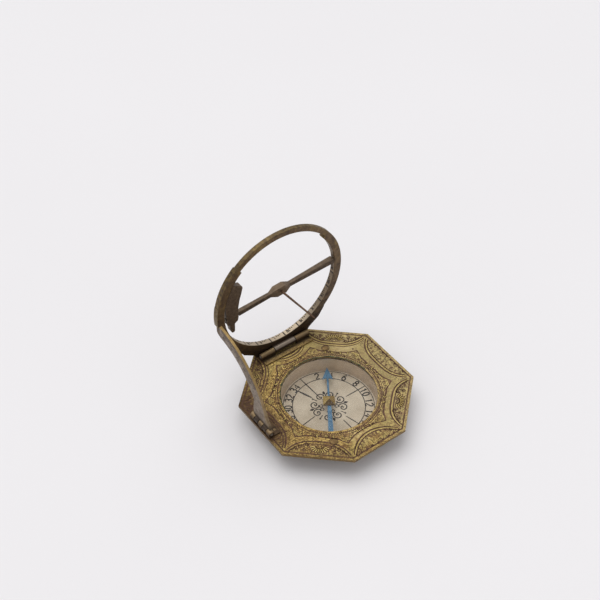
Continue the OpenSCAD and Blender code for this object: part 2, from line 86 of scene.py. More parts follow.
# The plate's eight corners in millimetres, from the solid's own corners
NEAR = 0.01 * MM
NORTH_HALF = max(co.x for co in points_of("base_plate") if co.y > PLATE_HIGH.y - NEAR) / MM
EAST_HALF = max(co.y for co in points_of("base_plate") if co.x > PLATE_HIGH.x - NEAR) / MM
EAST, NORTH = PLATE_HIGH.x / MM, PLATE_HIGH.y / MM
CORNERS = [Vector(c) for c in (
    (NORTH_HALF, NORTH), (-NORTH_HALF, NORTH), (-EAST, EAST_HALF), (-EAST, -EAST_HALF),
    (-NORTH_HALF, -NORTH), (NORTH_HALF, -NORTH), (EAST, -EAST_HALF), (EAST, EAST_HALF))]

# The camera of the photograph: it looks at the plate's middle from the south-west and above
CAMERA_AZIMUTH = math.radians(36.297)
CAMERA_DOWN = math.radians(44.809)
CAMERA_DISTANCE = 367.9 * MM
CAMERA_RANGE = (0.01, 20)
SENSOR_MM = 36
FOCAL_PX = 1072.75
IMAGE_PX = 600
PLATE_PX = (327.15, 390.87)

# The studio, with its floor just below the bowl
FLOOR_SIZE = 6
FLOOR_LEVEL = -0.02 * MM
LAMP_ANGLE = math.radians(65)
LAMP_ENERGY = 1.36
LAMP_DIRECTION = (-0.04, -0.42, -1)
SKY_COLOUR = (240, 240, 242)
SKY_STRENGTH = 0.7


def make_camera():
    forward = Vector((math.sin(CAMERA_AZIMUTH) * math.cos(CAMERA_DOWN),
                      math.cos(CAMERA_AZIMUTH) * math.cos(CAMERA_DOWN), -math.sin(CAMERA_DOWN)))
    right = Vector((math.cos(CAMERA_AZIMUTH), -math.sin(CAMERA_AZIMUTH), 0))
    up = right.cross(forward)
    ray = (forward + right * (PLATE_PX[0] - IMAGE_PX / 2) / FOCAL_PX
           - up * (PLATE_PX[1] - IMAGE_PX / 2) / FOCAL_PX)
    data = bpy.data.cameras.new("camera")
    data.sensor_width = SENSOR_MM
    data.lens = FOCAL_PX / IMAGE_PX * SENSOR_MM
    data.clip_start, data.clip_end = CAMERA_RANGE
    camera = bpy.data.objects.new("camera", data)
    camera.location = Vector((0, 0, PLATE_TOP)) - ray.normalized() * CAMERA_DISTANCE
    camera.rotation_mode = "QUATERNION"
    camera.rotation_quaternion = forward.to_track_quat("-Z", "Y")
    bpy.context.collection.objects.link(camera)
    bpy.context.scene.camera = camera


# Materials

# The fine strands round the window and along the latitude arc, from one to the next
STRAND = 0.6 * MM


def rgb(red, green, blue):
    """A linear colour from one as a screen shows it, in 0 to 255."""
    def linear(c):
        c /= 255
        return c / 12.92 if c <= 0.04045 else ((c + 0.055) / 1.055) ** 2.4
    return tuple(linear(c) for c in (red, green, blue))


class Look:
    """A node material with one principled shader, and short names for the nodes it is made of.
    Its colours are given as a screen shows them, in 0 to 255."""

    def __init__(self, name, roughness=0.5, metallic=0.0, alpha=1.0):
        self.material = bpy.data.materials.new(name)
        self.material.use_nodes = True
        self.tree = self.material.node_tree
        self.shader = self.tree.nodes["Principled BSDF"]
        self.shader.inputs["Roughness"].default_value = roughness
        self.shader.inputs["Metallic"].default_value = metallic
        self.shader.inputs["Alpha"].default_value = alpha
        self.place = self.node("ShaderNodeTexCoord").outputs["Object"]
        self.colour = None

    def node(self, kind, **inputs):
        made = self.tree.nodes.new(kind)
        for key, value in inputs.items():
            self.put(made.inputs[key], value)
        return made

    def put(self, socket, value):
        if isinstance(value, bpy.types.NodeSocket):
            self.tree.links.new(value, socket)
        elif socket.type == "RGBA":
            socket.default_value = (*rgb(*value), 1)
        else:
            socket.default_value = value

    def noise(self, size_mm, detail=3, rough=0.6, stretch=(1, 1, 1)):
        """Clouds of about that size, from 0 to 1, and drawn out along an axis by its stretch."""
        place = self.place
        if stretch != (1, 1, 1):
            scaled = self.node("ShaderNodeMapping", Vector=place)
            scaled.inputs["Scale"].default_value = tuple(1 / v for v in stretch)
            place = scaled.outputs["Vector"]
        made = self.node("ShaderNodeTexNoise", Scale=1 / (size_mm * MM), Detail=detail,
                         Roughness=rough, Vector=place)
        return made.outputs["Fac"]

    def between(self, value, low, high, to_low=0.0, to_high=1.0):
        """value, carried from low..high over to to_low..to_high, and held at the ends."""
        made = self.node("ShaderNodeMapRange")
        for socket, v in zip(made.inputs, (value, low, high, to_low, to_high)):
            self.put(socket, v)
        return made.outputs["Result"]

    def clouds(self, size_mm, detail=3, to_low=0.0, to_high=1.0):
        """Noise with its middle spread out, from to_low to to_high."""
        return self.between(self.noise(size_mm, detail), 0.35, 0.65, to_low, to_high)

    def math(self, operation, *values):
        made = self.tree.nodes.new("ShaderNodeMath")
        made.operation = operation
        for socket, value in zip(made.inputs, values):
            self.put(socket, value)
        return made.outputs["Value"]

    def chain(self, operation, values):
        """One operation on two values or more, from the first to the last."""
        return functools.reduce(functools.partial(self.math, operation), values)

    def plus(self, *values):
        return self.chain("ADD", values)

    def times(self, *values):
        return self.chain("MULTIPLY", values)

    def most(self, *values):
        return self.chain("MAXIMUM", values)

    def least(self, *values):
        return self.chain("MINIMUM", values)

    def minus(self, a, b):
        return self.math("SUBTRACT", a, b)

    def unsigned(self, a):
        return self.math("ABSOLUTE", a)

    def axes(self):
        return self.node("ShaderNodeSeparateXYZ", Vector=self.place).outputs

    def from_axis(self, centre, across):
        """The distance in metres from an axis through centre; across numbers the two axes across it."""
        places = self.axes()
        squares = [self.math("POWER", self.minus(places[k], centre[k]), 2.0) for k in across]
        return self.math("SQRT", self.plus(*squares))

    def waves(self, r, wander_mm, wander):
        """Rings about an axis at distance r, from -1 to 1, that wander in clouds."""
        turns = self.times(r, 2 * math.pi / STRAND)
        return self.math("SINE", self.plus(turns, self.times(self.noise(wander_mm), wander)))

    def mix(self, factor, a, b):
        made = self.tree.nodes.new("ShaderNodeMix")
        made.data_type = "RGBA"
        self.put(made.inputs["Factor"], factor)
        self.put(made.inputs[6], a)
        self.put(made.inputs[7], b)
        return made.outputs[2]

    def paint(self, colour):
        self.colour = colour
        self.put(self.shader.inputs["Base Color"], colour)

    def coat(self, factor, colour):
        """Lays a colour over what is there, as far as factor goes, from 0 to 1."""
        self.paint(self.mix(factor, self.colour, colour))

    def rough(self, value):
        self.put(self.shader.inputs["Roughness"], value)

    def bump(self, height, depth_mm, strength):
        made = self.node("ShaderNodeBump", Height=height, Distance=depth_mm * MM, Strength=strength)
        self.put(self.shader.inputs["Normal"], made.outputs["Normal"])


def patina(name, light, middle, dark, size_mm=2.5, grain_mm=0.35, stretch=(1, 1, 1),
           metallic=0.7, pits=0.5):
    """Old metal, light and middle in clouds and dark in pits and specks, with its clouds and grain."""
    look = Look(name, metallic=metallic)
    clouds = look.clouds(size_mm, 4)
    grain = look.noise(grain_mm, 3, 0.7, stretch)
    look.paint(look.mix(clouds, middle, light))
    look.coat(look.between(grain, 0.52, 0.7, 0.0, pits), dark)
    look.coat(look.between(grain, 0.46, 0.3, 0.0, 0.35), light)
    return look, clouds, grain


def old_metal(name, *tones, roughness=0.45, **kinds):
    """Metal with patina and a grain of wear; tones and kinds are those of patina."""
    look, clouds, grain = patina(name, *tones, **kinds)
    look.rough(look.between(clouds, 0, 1, roughness + 0.12, roughness - 0.06))
    look.bump(grain, 0.05, 0.7)
    return look


def set_material(piece, material):
    piece.data.materials.clear()
    piece.data.materials.append(material)


# Drawn lines

class Strokes:
    """Engraved or printed lines in one mesh, each a closed strip that lies on a surface.
    place(u, v, h) is the point of that surface at u, v, raised by h, all in millimetres."""

    def __init__(self, place, depth=0.03, height=0.02):
        self.mesh = bmesh.new()
        self.place = place
        self.levels = (-depth, height)

    def corner(self, u, v, h):
        return self.mesh.verts.new(self.place(u, v, h) * MM)

    def line(self, points, width, closed=False, taper=0.0):
        """A strip along the points; taper narrows it towards its ends, from 0 to 1."""
        last = len(points) - 1
        low, high = self.levels
        sections = []
        for i, (u, v) in enumerate(points):
            before = points[i - 1] if closed or i else points[i]
            after = points[(i + 1) % len(points)] if closed or i < last else points[i]
            du, dv = after[0] - before[0], after[1] - before[1]
            half = width / 2 * (1 - taper * (2 * i / last - 1) ** 2) / (math.hypot(du, dv) or 1)
            sections.append([self.corner(u - side * dv * half, v + side * du * half, h)
                             for side, h in ((-1, low), (1, low), (1, high), (-1, high))])
        if closed:
            sections.append(sections[0])
        else:
            self.mesh.faces.new(sections[0])
            self.mesh.faces.new(sections[-1])
        for a, b in zip(sections, sections[1:]):
            for k in range(4):
                self.mesh.faces.new((a[k], a[k - 3], b[k - 3], b[k]))

    def patch(self, points):
        """A filled outline."""
        low, high = ([self.corner(u, v, h) for u, v in points] for h in self.levels)
        self.mesh.faces.new(low)
        self.mesh.faces.new(high)
        for k in range(len(points)):
            self.mesh.faces.new((low[k - 1], low[k], high[k], high[k - 1]))

    def dot(self, u, v, r):
        self.patch(loop(u, v, r, r, 0, 315, 7))

    def piece(self, name, body, slot, material):
        bmesh.ops.recalc_face_normals(self.mesh, faces=self.mesh.faces)
        data = bpy.data.meshes.new(name)
        self.mesh.to_mesh(data)
        self.mesh.free()
        made = bpy.data.objects.new(name, data)
        bpy.context.collection.objects.link(made)
        set_material(made, material)
        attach(made, body)


def steps(first, last, count):
    return [first + (last - first) * k / count for k in range(count + 1)]


def all_round(count):
    """That many bearings round the compass, in degrees."""
    return steps(0, 360, count)[:-1]


def polar(r, bearing):
    return r * math.sin(math.radians(bearing)), r * math.cos(math.radians(bearing))


def loop(u, v, ru, rv, start=0, end=360, count=14):
    """Points on an ellipse about u, v, from start to end in degrees."""
    return [(u + ru * math.cos(math.radians(a)), v + rv * math.sin(math.radians(a)))
            for a in steps(start, end, count)]


def spiral(u, v, outer, inner, start, sweep, count=22):
    """Points that wind in towards u, v, through sweep degrees from start."""
    return [(u + (outer + (inner - outer) * t) * math.cos(math.radians(start + sweep * t)),
             v + (outer + (inner - outer) * t) * math.sin(math.radians(start + sweep * t)))
            for t in steps(0, 1, count)]


def leaf(u, v, bearing, length, width):
    """The outline of a pointed leaf that grows from u, v; a bearing of 0 is along +v."""
    east, north = polar(1, bearing)
    edge = [(t * length, width / 2 * math.sin(math.pi * t ** 0.8)) for t in steps(0, 1, 7)]
    edge += [(far, -out) for far, out in reversed(edge[1:-1])]
    return [(u + east * far + north * out, v + north * far - east * out) for far, out in edge]


# Each digit as lines in a box 0.6 wide and 1 high
DIGITS = {
    "0": [loop(0.3, 0.5, 0.25, 0.5)],
    "1": [[(0.14, 0.8), (0.34, 1), (0.34, 0)]],
    "2": [loop(0.3, 0.74, 0.24, 0.26, 170, -40) + [(0.04, 0.02), (0.58, 0.02)]],
    "3": [loop(0.28, 0.76, 0.23, 0.24, 150, -90), loop(0.28, 0.26, 0.27, 0.26, 90, -150)],
    "4": [[(0.44, 0), (0.44, 1), (0.02, 0.32), (0.6, 0.32)]],
    "5": [[(0.54, 1), (0.12, 1), (0.08, 0.56)] + loop(0.28, 0.32, 0.27, 0.32, 110, -140)],
    "6": [loop(0.3, 0.3, 0.26, 0.3), [(0.05, 0.36), (0.18, 0.75), (0.5, 1)]],
    "7": [[(0.04, 1), (0.58, 1), (0.22, 0)]],
    "8": [loop(0.3, 0.76, 0.2, 0.24), loop(0.3, 0.26, 0.27, 0.26)],
    "9": [loop(0.3, 0.7, 0.26, 0.3), [(0.55, 0.64), (0.42, 0.25), (0.12, 0)]],
}
DIGIT_MIDDLE = (0.3, 0.5)
DIGIT_STEP = 0.75

# The Roman signs' steps, as shares of their height, and the gap after each
SIGN_STEPS = {"I": 0.3, "V": 0.7, "X": 0.7}
SIGN_GAP = 0.12
ROMAN = ["", "I", "II", "III", "IV", "V", "VI", "VII", "VIII", "IX", "X", "XI", "XII"]


def number(strokes, text, carry, height, width):
    """Writes a plain number, centred; carry takes a point right and up of its middle to the surface."""
    for place, digit in enumerate(text):
        shift = DIGIT_STEP * (place - (len(text) - 1) / 2)
        for line in DIGITS[digit]:
            strokes.line([carry((x - DIGIT_MIDDLE[0] + shift) * height, (y - DIGIT_MIDDLE[1]) * height)
                          for x, y in line], width)


def hour_name(strokes, hour, carry, height, width):
    """Writes an hour as a plain Roman number."""
    x = -sum(SIGN_STEPS[sign] for sign in ROMAN[hour]) * height / 2
    for sign in ROMAN[hour]:
        left, right = x, x + (SIGN_STEPS[sign] - SIGN_GAP) * height
        lines = {"I": [[(left, 0.5), (left, -0.5)]],
                 "V": [[(left, 0.5), ((left + right) / 2, -0.5), (right, 0.5)]],
                 "X": [[(left, 0.5), (right, -0.5)], [(right, 0.5), (left, -0.5)]]}[sign]
        for line in lines:
            strokes.line([carry(u, v * height) for u, v in line], width)
        x += SIGN_STEPS[sign] * height


# The plate's engraving, in millimetres

class Side:
    """One of the plate's eight sides, with s along it from its middle and n inward from its edge."""

    def __init__(self, a, b):
        self.middle = (a + b) / 2
        self.along = (b - a).normalized()
        self.inward = Vector((-self.along.y, self.along.x))
        self.half = (b - a).length / 2

    def at(self, s, n):
        p = self.middle + self.along * s + self.inward * n
        return p.x, p.y

    def carry(self, points, mirror=1):
        return [self.at(mirror * s, n) for s, n in points]

    def arch(self, reach, low, high, power):
        """An arch over the side, from low at its ends to high in its middle."""
        return [self.at(reach * math.sin(t), low + (high - low) * (1 - abs(math.sin(t)) ** power))
                for t in steps(-math.pi / 2, math.pi / 2, 30)]


# The sides go round from the north by the west; odd ones are the slanting sides
SIDES = [Side(CORNERS[k], CORNERS[(k + 1) % 8]) for k in range(8)]
# The height and the fullness of each side's arch
ARCHES = [(8.5, 2.4), (6.2, 3.2), (6.4, 3.2), (6.3, 3.2), (6.8, 2.2), (6.3, 3.4), (6.4, 3.4), (6.2, 3.2)]
# The sides with a bright line in the arch (a painted highlight), with a bright line over it (the same), and
# with a dark line over it
BRIGHT_INSIDE, BRIGHT_OVER, DARK_OVER = (0, 4, 5, 6, 7), (0, 7), (0, 1, 7)

BORDER = 1.1
WINDOW_MM = WINDOW / MM
SOUTH_SHIFT = COMPASS.y / MM

# The scalloped edge round the window, and the fine line outside it
SCALLOPS = 150
SCALLOP_RADIUS, SCALLOP_DEPTH = 17.2, 0.75
FINE_LINE_RADIUS = 18.45

# The scrolls between the window and the cusped line; by its points they stand further out
SCROLLS = 44
SCROLL_RADIUS, SCROLL_RADIUS_BY_POINT = 18.75, 19.6
BY_POINT = 9
SCROLL_EYE = 0.12

# The cusped line: its points reach towards the corners, each over a turn of twice STRAP_TURN
STRAP_ROOT, STRAP_POINT, STRAP_MIDDLE = 19.9, 22.1, 19.0
STRAP_TURN = 7.5

# The shells' rays, each at its own turn, from a hub below the arch
SHELL_TURNS = range(-72, 73, 16)
SHELL_BELOW_ARCH, SHELL_HUB, SHELL_REACH = 1.5, 1.1, 3.9

# The straight sides' teeth, hatching and leaves
TEETH, TOOTH_STEP = range(-4, 5), 2.2
BORDER_HATCHES, ARCH_HATCHES, ARCH_LEAVES = 24, 26, 9

# The lines round the case screws, and small pits in the plate
SCREW_BEARINGS, SCREW_RADIUS, SCREW_RIM = (33.5, 213.5), 20.8, 1.35
PITS = ((19.13, 10.07), (-14.56, 14.76), (-16.55, 5.0), (-21.56, -5.88))
PIT_RADIUS = 0.34

# The widths of the cuts, and of the raised ridges between them, painted bright as highlights
BORDER_CUT = 0.45
STRAP_CUT = 0.5
ARCH_CUT, INNER_ARCH_CUT, OUTER_ARCH_CUT = 0.48, 0.36, 0.3
SHELL_SCROLL_CUT, SHELL_RAY_CUT, SHELL_LEAF_CUT = 0.32, 0.27, 0.25
TOOTH_CUT, TOOTH_LEAF_CUT = 0.2, 0.24
BELT_SCROLL_CUT, BELT_LEAF_CUT, HATCHING_CUT = 0.27, 0.22, 0.24
FINE_LINE_CUT, SCALLOP_CUT, SCREW_CUT = 0.24, 0.26, 0.22
RIDGE, SHELL_RIDGE, OUTER_RIDGE = 0.18, 0.2, 0.16


def on_plate(u, v, h):
    return Vector((u, v, PLATE_TOP / MM + h))


def round_window(r, bearing):
    u, v = polar(r, bearing)
    return u, SOUTH_SHIFT + v


def inset_octagon(inset):
    points = []
    for k, corner in enumerate(CORNERS):
        a, b = SIDES[k - 1].inward, SIDES[k].inward
        p = corner + (a + b) * inset / (1 + a.dot(b))
        points.append((p.x, p.y))
    return points


def shell(strokes, ridges, side, high):
    """A shell between two pairs of scrolls, for the arches on the slanting sides."""
    root = high - SHELL_BELOW_ARCH
    for turn in SHELL_TURNS:
        out, up = polar(1, turn)
        length = min((root - 1.5) / max(up, 0.3), SHELL_REACH) - SHELL_HUB
        s, n = SHELL_HUB * out, root - SHELL_HUB * up
        ray = [(s + u, n - v) for u, v in leaf(0, 0, turn, length, 0.8)]
        strokes.line(side.carry(ray), SHELL_RAY_CUT, closed=True)
        rib = [(s + t * out, n - t * up) for t in (0.2 * length, 0.8 * length)]
        ridges.line(side.carry(rib), SHELL_RIDGE)
    strokes.line(side.carry(loop(0, root, 0.7, 0.6, 180, 360)), SHELL_SCROLL_CUT)
    # Each scroll's place, radius, first bearing and winding, and each leaf's place, bearing and length
    scrolls = ((4.4, root - 0.2, 0.95, -60, 500), (6.3, root - 1.2, 0.85, 150, -480),
               (7.8, root - 1.9, 0.6, -40, 460), (5.0, 2.4, 0.7, 170, -400))
    leaves = ((3.6, root + 0.2, 160, 1.2), (5.2, root - 1.1, 195, 1.0), (6.9, 2.6, 110, 1.0),
              (8.4, 2.4, 100, 0.9))
    for mirror in (-1, 1):
        for s, n, size, start, winding in scrolls:
            curl = spiral(s, n, size, SCROLL_EYE, start, winding)
            strokes.line(side.carry(curl, mirror), SHELL_SCROLL_CUT)
        for s, n, turn, length in leaves:
            strokes.line(side.carry(leaf(s, n, turn, length, 0.5), mirror), SHELL_LEAF_CUT, closed=True)


def toothed_edge(strokes, side, high, reach):
    """Teeth and hatching along the border, and leaves under the arch, for the straight sides."""
    foot = BORDER + 0.1
    for k in TEETH:
        s = k * TOOTH_STEP + random.uniform(-0.2, 0.2)
        wide = random.uniform(0.5, 0.7)
        tall = random.uniform(0.6, 1.1)
        strokes.patch(side.carry([(s - wide, foot), (s + wide / 2, BORDER + tall), (s + wide, foot)]))
    for s in steps(-reach + 1.4, reach - 1.4, BORDER_HATCHES):
        top = BORDER + random.uniform(0.5, 2.2)
        strokes.line(side.carry([(s, BORDER), (s + 0.2, top)]), TOOTH_CUT, taper=0.5)
    for s in steps(-reach + 1.6, reach - 1.6, ARCH_HATCHES):
        under = high - 1.2 - (high - 2.4) * abs(s / reach) ** 2.8
        lean = random.uniform(-0.4, 0.4)
        width = random.uniform(0.22, 0.4)
        strokes.line(side.carry([(s, under + 1.1), (s + lean, under)]), width, taper=0.5)
    for s in steps(-reach + 2.6, reach - 2.6, ARCH_LEAVES):
        under = high - 1.5 - (high - 2.6) * abs(s / reach) ** 2.6
        turn = random.uniform(-35, 35) + (180 if s > 0 else 170)
        length = random.uniform(0.8, 1.6)
        strokes.line(side.carry(leaf(s, under, turn, length, 0.45)), TOOTH_LEAF_CUT, closed=True)


def strap_line():
    """The cusped line round the window, and the bearings of its points, each towards a corner."""
    tips = sorted(math.degrees(math.atan2(c.x, c.y - SOUTH_SHIFT)) % 360 for c in CORNERS)
    points = []
    for tip, following in zip(tips, tips[1:] + [tips[0] + 360]):
        points += [round_window(STRAP_ROOT, tip - STRAP_TURN), round_window(STRAP_POINT, tip),
                   round_window(STRAP_ROOT, tip + STRAP_TURN)]
        for t in steps(0, 1, 8)[1:-1]:
            r = STRAP_MIDDLE + (STRAP_ROOT - STRAP_MIDDLE) * (2 * t - 1) ** 2
            points.append(round_window(r, tip + STRAP_TURN + (following - tip - 2 * STRAP_TURN) * t))
    return points, tips


def belt_of_scrolls(strokes, ridges, tips):
    """Scrolls and leaves between the window and the cusped line, and hatching in its points."""
    for k in range(SCROLLS):
        bearing = k * 360 / SCROLLS
        nearest = min(abs((bearing - tip + 180) % 360 - 180) for tip in tips)
        r = SCROLL_RADIUS if nearest > BY_POINT else SCROLL_RADIUS_BY_POINT
        u, v = round_window(r, bearing)
        start = 90 - bearing + random.uniform(-30, 30)
        winding = 400 if k % 2 else -400
        strokes.line(spiral(u, v, 0.72, SCROLL_EYE, start, winding, 16), BELT_SCROLL_CUT)
        ridges.line(spiral(u, v, 0.5, 0.2, start + 20, winding * 0.6, 12), RIDGE)
        u, v = round_window(r - 0.35, bearing + 4)
        turn = bearing + random.uniform(30, 150)
        strokes.line(leaf(u, v, turn, 1.0, 0.45), BELT_LEAF_CUT, closed=True)
    for tip in tips:
        for k in range(-3, 4):
            strokes.line([round_window(STRAP_ROOT, tip + k * 1.5),
                          round_window(STRAP_POINT - 0.4 - abs(k) * 0.45, tip + k * 1.1)], HATCHING_CUT)
            ridges.line([round_window(STRAP_ROOT + 0.2, tip + k * 1.4 + 0.6),
                         round_window(STRAP_ROOT + 1.0, tip + k + 0.6)], RIDGE)


def engrave_plate(dark, bright):
    strokes = Strokes(on_plate)
    # Raised ridges in bright brass: painted highlights beside the cuts
    ridges = Strokes(on_plate, height=0.05)
    strokes.line(inset_octagon(BORDER), BORDER_CUT, closed=True)
    for k, (side, (high, power)) in enumerate(zip(SIDES, ARCHES)):
        reach = side.half - 1.4
        strokes.line(side.arch(reach, 2.0, high, power), ARCH_CUT)
        strokes.line(side.arch(reach - 0.6, 1.5, high - 1.1, power), INNER_ARCH_CUT)
        if k in BRIGHT_INSIDE:
            ridges.line(side.arch(reach - 0.25, 1.9, high - 0.55, power), RIDGE)
        if k % 2:
            shell(strokes, ridges, side, high)
        else:
            toothed_edge(strokes, side, high, reach)
        if k in BRIGHT_OVER:
            ridges.line(side.arch(reach + 0.2, 2.4, high + 0.6, power), OUTER_RIDGE)
        if k in DARK_OVER:
            strokes.line(side.arch(reach + 0.2, 2.6, high + 1.0, power), OUTER_ARCH_CUT)
    line, tips = strap_line()
    strokes.line(line, STRAP_CUT, closed=True)
    strokes.line([round_window(FINE_LINE_RADIUS, b) for b in all_round(120)], FINE_LINE_CUT, closed=True)
    scallops = [(SCALLOP_RADIUS + SCALLOP_DEPTH * abs(math.sin(math.radians(b * SCALLOPS / 2))), b)
                for b in all_round(SCALLOPS * 8)]
    strokes.line([round_window(r, b) for r, b in scallops], SCALLOP_CUT, closed=True)
    belt_of_scrolls(strokes, ridges, tips)
    for u, v in PITS:
        strokes.dot(u, v, PIT_RADIUS)
    for bearing in SCREW_BEARINGS:
        u, v = round_window(SCREW_RADIUS, bearing)
        strokes.line(loop(u, v, SCREW_RIM, SCREW_RIM, 0, 345, 23), SCREW_CUT, closed=True)
    strokes.piece("plate_engraving", "base", "plate_brass", dark)
    ridges.piece("plate_ridges", "base", "plate_brass", bright)


def add_verdigris(material):
    """Green-black crusts along the window's edge, on its north half."""
    strokes = Strokes(on_plate, height=0.06)
    for start in range(-84, 84, 4):
        wide = random.uniform(0.22, 0.5)
        turns = steps(0, random.uniform(4, 6.5), 6)
        strokes.line([round_window(WINDOW_MM + wide / 2 + random.uniform(0, 0.12), start + t)
                      for t in turns], wide, taper=0.5)
    strokes.piece("window_verdigris", "base", "plate_brass", material)


# The hour ring's divisions, on its inner wall, in millimetres
HOUR_TURN = 15
HOUR_STEP = math.radians(HOUR_TURN) * RING_INNER / MM
WALL_MARGIN = 0.14
HOUR_CUT, HALF_CUT, QUARTER_CUT, HOUR_NAME_CUT = 0.44, 0.3, 0.24, 0.26
HALF_LENGTH, QUARTER_LENGTH = 0.9, 0.55
HOUR_NAME_HEIGHT, HOUR_NAME_LEVEL, HOUR_NAME_AHEAD = 1.2, 1.1, 1.75
HALF_DOT_RADIUS, HALF_DOT_LEVEL, HALF_DOT_AHEAD = 0.26, 1.45, 0.75


def on_ring_wall(u, v, h):
    """u is the way along the wall from the ring's foot towards east, v is from the south face."""
    a, r = u * MM / RING_INNER, RING_INNER / MM - h
    return Vector((RING_MIDDLE.x / MM + r * math.sin(a), RING_LOW.y / MM + v,
                   RING_MIDDLE.z / MM - r * math.cos(a)))


def divide_ring(material):
    """Noon stands at the ring's foot, and the morning hours go up its east side."""
    strokes = Strokes(on_ring_wall)
    low, high = WALL_MARGIN, (RING_HIGH.y - RING_LOW.y) / MM - WALL_MARGIN
    for hour in range(-5, 6):
        u = (hour + BAR_TURN / HOUR_TURN) * HOUR_STEP
        def carry(x, y):
            return u + HOUR_NAME_AHEAD - x, HOUR_NAME_LEVEL + y
        strokes.line([(u, low), (u, high)], HOUR_CUT)
        hour_name(strokes, (11 - hour) % 12 + 1, carry, HOUR_NAME_HEIGHT, HOUR_NAME_CUT)
    for half in range(-6, 6):
        u = (half + 0.5 + BAR_TURN / HOUR_TURN) * HOUR_STEP
        strokes.dot(u + HALF_DOT_AHEAD, HALF_DOT_LEVEL, HALF_DOT_RADIUS)
        strokes.line([(u, high - HALF_LENGTH), (u, high)], HALF_CUT)
        for quarter in (-HOUR_STEP / 4, HOUR_STEP / 4):
            strokes.line([(u + quarter, high - QUARTER_LENGTH), (u + quarter, high)], QUARTER_CUT)
    strokes.piece("hour_divisions", "ring", "ring_brass", material)


# The latitude arc's scale, on its two faces: lengths in millimetres, from the outer edge
SCALE_START, SCALE_END = 6, 56
SCALE_LINES = (0.35, 1.25, 2.2)
TEN_DEPTH, FIVE_DEPTH, ONE_DEPTH = 2.2, 1.75, 1.25
SCALE_CUT, DEGREE_CUT, DEGREE_NAME_CUT = 0.16, 0.15, 0.18
DEGREE_NAME_HEIGHT, DEGREE_NAME_DEPTH = 1.2, 3.1


def arc_point(r, a):
    """a is in degrees from upright, down towards the south."""
    south, up = polar(r, a)
    return RING_HINGE.y / MM - south, RING_HINGE.z / MM + up


def divide_arc(material):
    outer = ARC_OUTER / MM
    for name, x, out in (("arc_scale_west", ARC_WEST / MM, -1), ("arc_scale_east", ARC_EAST / MM, 1)):
        strokes = Strokes(lambda u, v, h: Vector((x + out * h, u, v)))
        for inward in SCALE_LINES:
            strokes.line([arc_point(outer - inward, a) for a in steps(SCALE_START, SCALE_END, 40)], SCALE_CUT)
        for a in range(SCALE_START, SCALE_END + 1):
            depth = TEN_DEPTH if a % 10 == 0 else FIVE_DEPTH if a % 5 == 0 else ONE_DEPTH
            strokes.line([arc_point(outer - SCALE_LINES[0], a), arc_point(outer - depth, a)], DEGREE_CUT)
        for a in range(10, SCALE_END, 10):
            def carry(u, v):
                return arc_point(outer - DEGREE_NAME_DEPTH + v, a - out * math.degrees(u / outer))
            number(strokes, str(90 - a), carry, DEGREE_NAME_HEIGHT, DEGREE_NAME_CUT)
        strokes.piece(name, "arc", "arc_brass", material)


# The compass card's print, in millimetres
CARD_CIRCLES = ((12.6, 0.3), (15.8, 0.26))
# Each ray's bearing, near and far end, and width
CARD_RAYS = ((-2.5, 5.2, 15.8, 0.44), (-21.5, 6.9, 12.5, 0.7), (91, 7.3, 15.8, 0.42),
             (178, 7.8, 15.8, 0.42), (164, 7.3, 12.5, 0.4), (-97, 6.6, 15.8, 0.4))
# Every second ten of degrees, without those under the north and south rays
CARD_TENS = [tens for tens in range(2, 36, 2) if tens != 18]
TENS_RADIUS, TENS_HEIGHT, TENS_WIDTH = 14.1, 2.5, 0.5
ROSETTE_TURN = 20
OUTER_SCROLL_WIDTH, INNER_SCROLL_WIDTH, STALK_WIDTH = 0.42, 0.34, 0.3
SCROLL_DOT_RADIUS, STALK_DOT_RADIUS = 0.32, 0.36


def on_card(u, v, h):
    return Vector((COMPASS.x / MM + u, COMPASS.y / MM + v, CARD_TOP / MM + h))


def print_rosette(strokes):
    """Eight scrolls in pairs, each pair with a bud in it, and dotted stalks between the pairs."""
    for quarter in range(0, 360, 90):
        def turned(u, v, mirror=1):
            bearing = quarter + ROSETTE_TURN + mirror * math.degrees(math.atan2(u, v))
            return polar(math.hypot(u, v), bearing)
        for mirror in (-1, 1):
            outer = spiral(1.85, 4.6, 1.75, 0.5, 250, -440, 26)
            inner = spiral(0.9, 2.5, 0.9, 0.3, 60, 330, 18)
            strokes.line([turned(u, v, mirror) for u, v in outer], OUTER_SCROLL_WIDTH)
            strokes.line([turned(u, v, mirror) for u, v in inner], INNER_SCROLL_WIDTH)
            strokes.dot(*turned(1.85, 4.6, mirror), SCROLL_DOT_RADIUS)
        strokes.patch([turned(u, v) for u, v in leaf(0, 5.3, 0, 1.7, 1.0)])
        between = quarter + ROSETTE_TURN + 45
        strokes.dot(*polar(6.4, between), STALK_DOT_RADIUS)
        strokes.line([polar(r, between) for r in (4.6, 5.4, 6.2)], STALK_WIDTH)


def print_card(ink):
    strokes = Strokes(on_card, depth=0.02, height=0.01)
    for r, width in CARD_CIRCLES:
        strokes.line([polar(r, b) for b in all_round(90)], width, closed=True)
    for bearing, near, far, width in CARD_RAYS:
        strokes.line([polar(r, bearing) for r in steps(near, far, 6)], width, taper=0.4)
    for tens in CARD_TENS:
        def carry(x, y):
            return polar(TENS_RADIUS + y, tens * 10 + math.degrees(x / TENS_RADIUS))
        number(strokes, str(tens), carry, TENS_HEIGHT, TENS_WIDTH)
    print_rosette(strokes)
    strokes.piece("card_print", "base", "card_paper", ink)


# The stage

